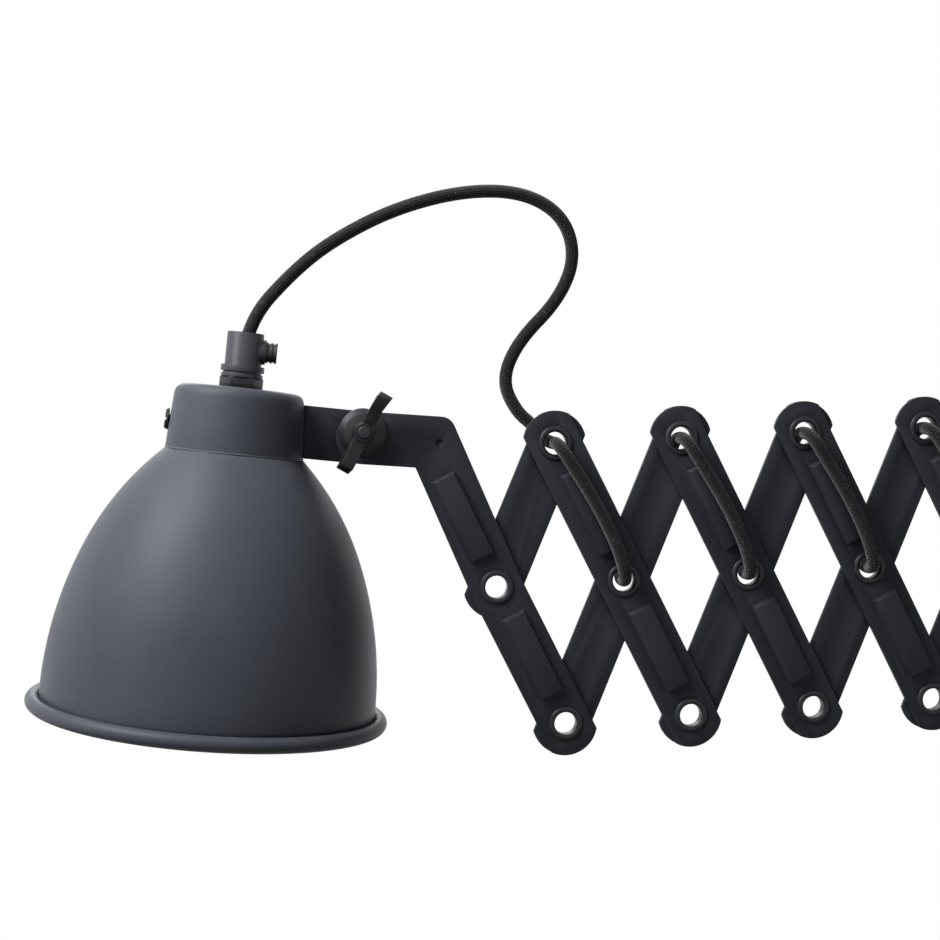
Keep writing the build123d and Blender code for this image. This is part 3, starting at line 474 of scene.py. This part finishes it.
def cord_tube(name, route, node, body=None):
    """Braided cord along a route, in place of its CAD solid."""
    line, length = evenly(spline_points(route), mm(RING_STEP))
    bm = bmesh.new()
    uv = bm.loops.layers.uv.new("UVMap")
    side = Vector((0, 1, 0))
    rings = []
    for index, point in enumerate(line):
        run = (line[min(index + 1, len(line) - 1)] - line[max(index - 1, 0)]).normalized()
        side = (side - run * side.dot(run))
        side = side.normalized() if side.length > 1e-6 else run.orthogonal().normalized()
        other = run.cross(side)
        angles = [2 * math.pi * step / SIDES for step in range(SIDES)]
        rings.append([bm.verts.new(point + mm(CORD_RADIUS)
                                   * (side * math.cos(angle) + other * math.sin(angle)))
                      for angle in angles])
    for index, (first, second) in enumerate(zip(rings, rings[1:])):
        for step in range(SIDES):
            face = bm.faces.new((first[step], first[(step + 1) % SIDES],
                                 second[(step + 1) % SIDES], second[step]))
            low = length * index / (len(line) - 1)
            high = length * (index + 1) / (len(line) - 1)
            spots = ((low, step), (low, step + 1), (high, step + 1), (high, step))
            for loop, (u, v) in zip(face.loops, spots):
                loop[uv].uv = (u, v / SIDES)
    bm.faces.new(list(reversed(rings[0])))
    bm.faces.new(rings[-1])
    bmesh.ops.recalc_face_normals(bm, faces=bm.faces)
    mesh = bpy.data.meshes.new(name)
    bm.to_mesh(mesh)
    bm.free()
    piece = new_piece(name, mesh, "cord_cloth", body, [node], smooth=60)
    return piece


def on_link(centre, direction, along, across, y):
    right = (direction[1], -direction[0])
    return mm(centre[0] + along * direction[0] + across * right[0], y,
              centre[1] + along * direction[1] + across * right[1])


def weave_route(centre, direction, side, bow, sway):
    """From a link's middle eyelet up to its end eyelet, bowing to one side on the way."""
    stations = [(0, 0, 0), (0, 0, 6.0), (4.2, sway[0], 10.2), (15.0, sway[1], 9.6),
                (HALF / 2, sway[2], 9.6), (HALF - 15.0, sway[3], 9.6),
                (HALF - 4.2, sway[4], 10.2), (HALF, 0, 6.0), (HALF, 0, 0)]
    return [on_link(centre, direction, along, bow * share, side * off)
            for along, share, off in stations]


FRONT_SWAY = (0.2, 0.9, 1.0, 0.45, 0.1)
REAR_SWAY = (0.1, 0.6, 1.0, 0.6, 0.1)
FRONT_BOW = 3.5
REAR_BOW = 4.0
for k in range(1, CROSSINGS):
    front = weave_route(middle(k), UP_LEFT, -1, FRONT_BOW, FRONT_SWAY)
    rear = weave_route(middle(k), UP_RIGHT, 1, REAR_BOW, REAR_SWAY)
    cord_tube(f"woven_front_{k}", front, f"cord_front_{k}", f"front_link_{k}")
    cord_tube(f"woven_rear_{k}", rear, f"cord_rear_{k}", f"rear_link_{k}")

# The free loop, from the grip to the first upper eyelet, measured from the first crossing.
LOOP = [
    (-85.5, 0.0, 148.0), (-66.5, 0.5, 161.5), (-39.0, 1.0, 174.5), (-7.0, 2.0, 182.0),
    (20.5, 4.0, 181.0), (39.0, 6.0, 170.0), (44.5, 8.0, 151.0), (36.0, 9.5, 131.5),
    (16.0, 10.2, 112.5), (8.0, 10.6, 95.0), (14.0, 10.8, 80.5), (22.5, 10.6, 73.0),
]
loop = [mm(FIRST[0] + x, y, z) for x, y, z in LOOP]
loop_top = (loop[3] + loop[4]) / 2
eyelet = mm(top(1)[0], 0, top(1)[1])
GRIP_ENTRY, GRIP_EXIT = 158.3, 174.3
grip_points = [mm(RIM[0], 0, RIM[1]) + HEAD_UP * mm(height) for height in (GRIP_ENTRY, GRIP_EXIT)]
arrival = [eyelet + mm(-3.6, 10.2, 2.1), eyelet + mm(0, 6.0, 0), eyelet]
lamp_half = cord_tube("loop_lamp_side", grip_points + loop[:4] + [loop_top], "cord_loop_lamp")
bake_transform(lamp_half)
arm_half = cord_tube("loop_arm_side", [loop_top] + loop[4:] + arrival, "cord_loop_arm")
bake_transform(arm_half)

wall_eyelet = mm(WALL_PIVOT, 0, RISE)
TAIL = [
    (-61.5, -10.2, 69.2), (-63.0, -12.5, 80.0), (-69.0, -13.5, 98.0), (-78.0, -12.0, 116.0),
    (-82.0, -8.0, 135.0), (-74.0, -4.0, 152.0), (-60.0, -0.5, 160.5), (-40.0, 0.0, 160.0),
    (-30.0, 0.0, 160.0),
]
tail_route = [wall_eyelet, wall_eyelet + mm(0, -6.0, 0)] + [mm(*point) for point in TAIL]
tail = cord_tube("wall_tail", tail_route, "cord_tail")
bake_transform(tail)

# ---------------------------------------------------------------------- shade
ARC_STEPS = 22
SHADE_WALL = 1.0
NECK_INSIDE, NECK_OUTSIDE = 27.2, 28.2
NECK_STEP = 1.2
NECK_TOP = 131.2
BEAD_CENTRE, BEAD_RADIUS = 76.9, 3.3
BEAD_START, BEAD_SWEEP, BEAD_STEPS = 160, 302, 26


def dome_profile():
    """Outer curve of the dome, upwards, as (radius, height)."""
    def arc(start, end, tangent, steps):
        chord = end - start
        normal = Vector((-tangent.y, tangent.x))
        radius = chord.length_squared / (2 * chord.dot(normal))
        centre = start + normal * radius
        first = math.atan2(*(start - centre).yx)
        last = math.atan2(*(end - centre).yx)
        points = [centre + abs(radius) * Vector((math.cos(first + (last - first) * s / steps),
                                                 math.sin(first + (last - first) * s / steps)))
                  for s in range(steps + 1)]
        ray = (points[-1] - centre).normalized()
        return points, Vector((-ray.y, ray.x)) * (1 if radius > 0 else -1)
    foot, waist, seam = Vector((74.4, 4.4)), Vector((60.6, 72.0)), Vector((30.5, SEAM))
    lower, heading = arc(foot, waist, Vector((0, 1)), ARC_STEPS)
    upper, _ = arc(waist, seam, heading, ARC_STEPS)
    return lower + upper[1:]


outer = dome_profile()
inner = []
for index, point in enumerate(outer):
    run = (outer[min(index + 1, len(outer) - 1)] - outer[max(index - 1, 0)]).normalized()
    inner.append(point + Vector((-run.y, run.x)) * SHADE_WALL)
inner = [point for point in inner if point.y < SEAM - NECK_STEP]
inner.append(Vector((NECK_INSIDE, SEAM - NECK_STEP)))
bead = []
for step in range(BEAD_STEPS + 1):
    angle = math.radians(BEAD_START - step * BEAD_SWEEP / BEAD_STEPS)
    bead.append(Vector((BEAD_CENTRE + BEAD_RADIUS * math.cos(angle),
                        BEAD_RADIUS * math.sin(angle))))
# Up the neck, down the inside, round the rolled rim, and up the outside.
shell = [Vector((NECK_OUTSIDE, SEAM)), Vector((NECK_OUTSIDE, NECK_TOP)),
         Vector((NECK_INSIDE, NECK_TOP))] + list(reversed(inner))
shell += [Vector((73.4, 0.2))] + list(reversed(bead)) + [Vector((74.4, 3.2))] + outer
lathe("shade_shell", shell, HEAD_FRAME, "shade_paint", "head", ["shade_dome"], turns=192,
      smooth=40)

CAP_WALL = 1.2
CAP_FOOT = SEAM + 0.1
NIPPLE_HOLE = 5.05
cap = [(NIPPLE_HOLE, CAP_TOP, 0.3), (28.6, CAP_TOP, 5.5), (30.7, CAP_FOOT, 0.35),
       (29.5, CAP_FOOT, 0.2), (27.4, CAP_TOP - CAP_WALL, 4.3),
       (NIPPLE_HOLE, CAP_TOP - CAP_WALL, 0.2)]
lathe("cap_shell", rounded(cap, 0.3, 8), HEAD_FRAME, "shade_paint", "head", ["neck_cap"],
      turns=160, smooth=40)

SEAM_RADIUS, SEAM_BEAD, SEAM_SIDES = 30.45, 0.5, 10


def uneven(radius, height, angle):
    """Waves of the paint that has filled the joint between cap and shade."""
    return 0.10 * math.sin(7 * angle) + 0.07 * math.sin(17 * angle + 1.3)


seam_turns = [side * math.pi / (SEAM_SIDES / 2) for side in range(SEAM_SIDES)]
seam_ring = [(SEAM_RADIUS + SEAM_BEAD * math.cos(angle), SEAM + 0.05 + SEAM_BEAD * math.sin(angle))
             for angle in seam_turns]
# A real bead of paint in the joint, coloured lighter than the shade as a painted highlight.
lathe("paint_seam", seam_ring, HEAD_FRAME, "seam_highlight_paint", "head", turns=160, thread=uneven)


# ------------------------------------------------------------- rivets and bolt
def rivet_profile():
    half = [(5.2, 2.1), (5.3, 2.65), (5.7, 3.05), (6.4, 3.2), (7.2, 3.1), (7.8, 2.7),
            (8.0, 2.1), (6.1, 2.1)]
    return half + [(radius, -height) for radius, height in reversed(half)]


def add_rivets(name, places, body, node):
    pieces = [lathe(f"{name}_{index}", rivet_profile(), pivot_frame(place), "dark_steel", None,
                    turns=48)
              for index, place in enumerate(places)]
    mesh = join(pieces, name)
    for piece in pieces:
        bpy.data.objects.remove(piece)
    return new_piece(name, mesh, "dark_steel", body, [node], smooth=50)


for k in range(CROSSINGS):
    spots = [middle(k), bottom(k)] + ([top(k)] if k else [])
    carrier = f"front_link_{k}" if k else "bent_arm"
    add_rivets(f"rolled_rivets_{k}", spots, carrier, f"hollow_rivets_{k}")
add_rivets("rolled_rivet_wall", [(WALL_PIVOT, RISE)], "upper_collar", "wall_pivot_rivet")

washer = [(3.08, 5.5, 0), (5.2, 5.5, 2.0), (8.6, 4.5, 3.0), (11.0, 2.7, 0.5), (11.0, 2.1, 0),
          (9.8, 2.1, 0), (5.2, 4.3, 1.0), (3.08, 4.3, 0)]
lathe("dished_washer", rounded(washer, 0, 5), pivot_frame(TILT), "dark_steel", "head",
      ["domed_washer"], turns=64)

WING_LEAN = math.radians(57.3)
HUB_RADIUS = 5.2
WING_REACH = 21.5
WING_HALF = 2.9
WING_BOW = 0.9
WING_STRETCH = 1.3
WING_WAIST, WING_FLARE = 0.10, 0.14       # shares of the width lost at the hub, won further out
END_CUT, END_FROM, END_SPAN = 3.2, 0.62, 0.3


def spread_wings(nut):
    """Makes each wing like a paddle: narrow at the hub, a little bowed, and broad at its end."""
    along_wings = Vector((math.cos(WING_LEAN), 0, math.sin(WING_LEAN)))
    across_wings = Vector((-along_wings.z, 0, along_wings.x))
    pivot = mm(TILT[0], 0, TILT[1])
    for vertex in nut.data.vertices:
        offset = vertex.co - pivot
        along, across = offset.dot(along_wings), offset.dot(across_wings)
        out = max(0.0, abs(along) - mm(HUB_RADIUS)) / mm(WING_REACH - HUB_RADIUS)
        if out > 0.0:
            side = math.copysign(1.0, along)
            aside = min(1.0, abs(across) / mm(WING_HALF))
            near_end = min(1.0, max(0.0, (out - END_FROM) / END_SPAN))
            bow = mm(WING_BOW) * math.sin(math.pi * min(1.0, out)) * side
            vertex.co += across_wings * (across * (WING_FLARE * out - WING_WAIST) + bow)
            vertex.co += along_wings * side * (mm(WING_STRETCH) * out
                                               - mm(END_CUT) * near_end * aside ** 2)


SCREW_SEAT = 30.6
SCREW_HEIGHT = SEAM + 12.5
SCREW_LEAN = 0.10
SCREW_FLATNESS = 0.5


def flatten_screw(screw):
    """Makes the side screw's head a thin, slightly tilted disc on the neck."""
    back = HEAD_FRAME.inverted()
    for vertex in screw.data.vertices:
        place = back @ vertex.co
        out = -place.x - mm(SCREW_SEAT)
        if out > 0.0:
            lean = (mm(SCREW_HEIGHT) - place.z) * SCREW_LEAN
            place.x = -mm(SCREW_SEAT) - out * SCREW_FLATNESS - max(0.0, lean)
            vertex.co = HEAD_FRAME @ place


# ------------------------------------------------- steel strips and other parts
# Each finish, with the CAD nodes that carry it and how far their edges are softened.
SOFTENED = [("arm_paint", [(f"{side}_link_{k}", 0.3) for k in range(1, CROSSINGS)
                           for side in ("front", "rear")]
             + [("half_link", 0.3), ("bent_arm", 0.3), ("lamp_ear", 0.35)]),
            ("wing_steel", [("wing_nut", 1.3)]),
            ("dark_steel", [("pivot_bolt", 0.3)]),
            ("black_steel", [("neck_screw", 0.35)]),
            ("dark_steel", [("lock_nut", 0.5), ("inner_nut", 0.4)]),
            ("grip_metal", [("cord_grip", 0.4)]),
            ("black_plastic", [("grip_screw", 0.25)]),
            ("holder_plastic", [("lampholder_body", 0.6)]),
            ("brass", [("centre_contact", 0.2)]),
            ("grip_metal", [("threaded_nipple", 0.2)]),
            ("bracket_paint", [("wall_plate", 0.5), ("upper_rod_bracket", 0.5),
                               ("lower_rod_bracket", 0.5), ("hinge_rod", 0.3), ("rod_nuts", 0.4),
                               ("stop_rings", 0.5), ("upper_collar", 0.4), ("lower_collar", 0.4),
                               ("terminal_cover", 0.3)]),
            ("dark_steel", [("bracket_screws", 0.3), ("cover_screws", 0.3)]),
            ("block_plastic", [("terminal_block", 0.4)]),
            ("black_plastic", [("cord_gland", 0.4)])]
ROUNDING_STEPS = {"wing_nut": 4}
RESHAPED = {"wing_nut": spread_wings, "neck_screw": flatten_screw}

for finish, parts in SOFTENED:
    for part, width in parts:
        softened = soften(part, width, finish, ROUNDING_STEPS.get(part, 2))
        if part in RESHAPED:
            RESHAPED[part](softened)

SOCKET_MOUTH, SOCKET_LENGTH, SOCKET_ROWS = 93.9, 27.0, 60
SOCKET_INSIDE, SOCKET_OUTSIDE = 13.3, 13.95
THREAD_FROM, THREAD_TO, THREAD_PITCH = 95, 119, 3.6


def screw_wave(radius, height, angle):
    """Rolled screw thread on the inside of the shell."""
    if radius > SOCKET_INSIDE or not THREAD_FROM < height < THREAD_TO:
        return 0.0
    return 0.32 * math.sin(2 * math.pi * height / THREAD_PITCH - angle) + 0.3


shell_rows = [SOCKET_MOUTH + SOCKET_LENGTH * step / SOCKET_ROWS for step in range(SOCKET_ROWS + 1)]
socket = [(SOCKET_INSIDE, height) for height in shell_rows]
socket += [(SOCKET_OUTSIDE, height) for height in reversed(shell_rows)]
lathe("socket_shell", socket, HEAD_FRAME, "brass", "head", ["lampholder_shell"], turns=64,
      smooth=60, thread=screw_wave)

# ---------------------------------------------------------- floor, light, view
bpy.ops.mesh.primitive_circle_add(vertices=96, radius=1.25, fill_type="NGON",
                                  location=(-0.3, 0, -0.66))
floor = bpy.context.object
floor.name = "floor"
floor_paint, _, shader = node_tree("floor")
shader.inputs["Base Color"].default_value = (0.80, 0.80, 0.80, 1)
shader.inputs["Roughness"].default_value = 0.9
floor.data.materials.append(floor_paint)

world = bpy.data.worlds.new("studio")
bpy.context.scene.world = world
world.use_nodes = True
tree = world.node_tree
tree.nodes.clear()
out = tree.nodes.new("ShaderNodeOutputWorld")
seen, felt = tree.nodes.new("ShaderNodeBackground"), tree.nodes.new("ShaderNodeBackground")
seen.inputs[0].default_value = (1, 1, 1, 1)
felt.inputs[0].default_value = (0.93, 0.96, 1.0, 1)
felt.inputs[1].default_value = 0.02
path = tree.nodes.new("ShaderNodeLightPath")
seen_through = maths(tree, "MAXIMUM", path.outputs["Is Camera Ray"],
                     path.outputs["Is Transmission Ray"])
plain = maths(tree, "MAXIMUM", seen_through, path.outputs["Is Glossy Ray"])
mix = tree.nodes.new("ShaderNodeMixShader")
tree.links.new(plain, mix.inputs[0])
tree.links.new(felt.outputs[0], mix.inputs[1])
tree.links.new(seen.outputs[0], mix.inputs[2])
tree.links.new(mix.outputs[0], out.inputs[0])


def softbox(name, place, target, size, power):
    light = bpy.data.lights.new(name, "AREA")
    light.shape = "DISK"
    light.size = size
    light.energy = power
    holder = bpy.data.objects.new(name, light)
    bpy.context.scene.collection.objects.link(holder)
    holder.location = place
    aim = Vector(target) - Vector(place)
    holder.rotation_euler = aim.to_track_quat("-Z", "Y").to_euler()


softbox("key", (-0.98, -0.40, 0.64), (-0.46, 0, 0.02), 0.5, 5.2)
softbox("key_above", (-0.763, -0.175, 0.626), (-0.46, 0, 0.02), 0.5, 4.2)
softbox("behind", (-0.45, 1.3, 0.7), (-0.3, 0, 0), 1.0, 6.0)

# Place and turn were fitted to the photograph's pivots, rim and strips.
CAMERA_OFFSET = (-100.48, -681.31, 78.68)
CAMERA_YAW, CAMERA_PITCH, CAMERA_ROLL = -7.566, -2.04, 2.174
camera = bpy.data.cameras.new("camera")
camera.sensor_width = 36.0
camera.lens = 57.45
holder = bpy.data.objects.new("camera", camera)
bpy.context.scene.collection.objects.link(holder)
turn = (Matrix.Rotation(math.radians(CAMERA_YAW), 3, "Z")
        @ Matrix.Rotation(math.radians(CAMERA_PITCH), 3, "X")
        @ Matrix.Rotation(math.radians(CAMERA_ROLL), 3, "Y"))
axes = Matrix((turn @ Vector((1, 0, 0)), turn @ Vector((0, 0, 1)),
               turn @ Vector((0, -1, 0)))).transposed()
eye = mm(FIRST[0] + CAMERA_OFFSET[0], CAMERA_OFFSET[1], CAMERA_OFFSET[2])
holder.matrix_world = Matrix.Translation(eye) @ axes.to_4x4()
bpy.context.scene.camera = holder
bpy.context.scene.view_settings.view_transform = "Standard"
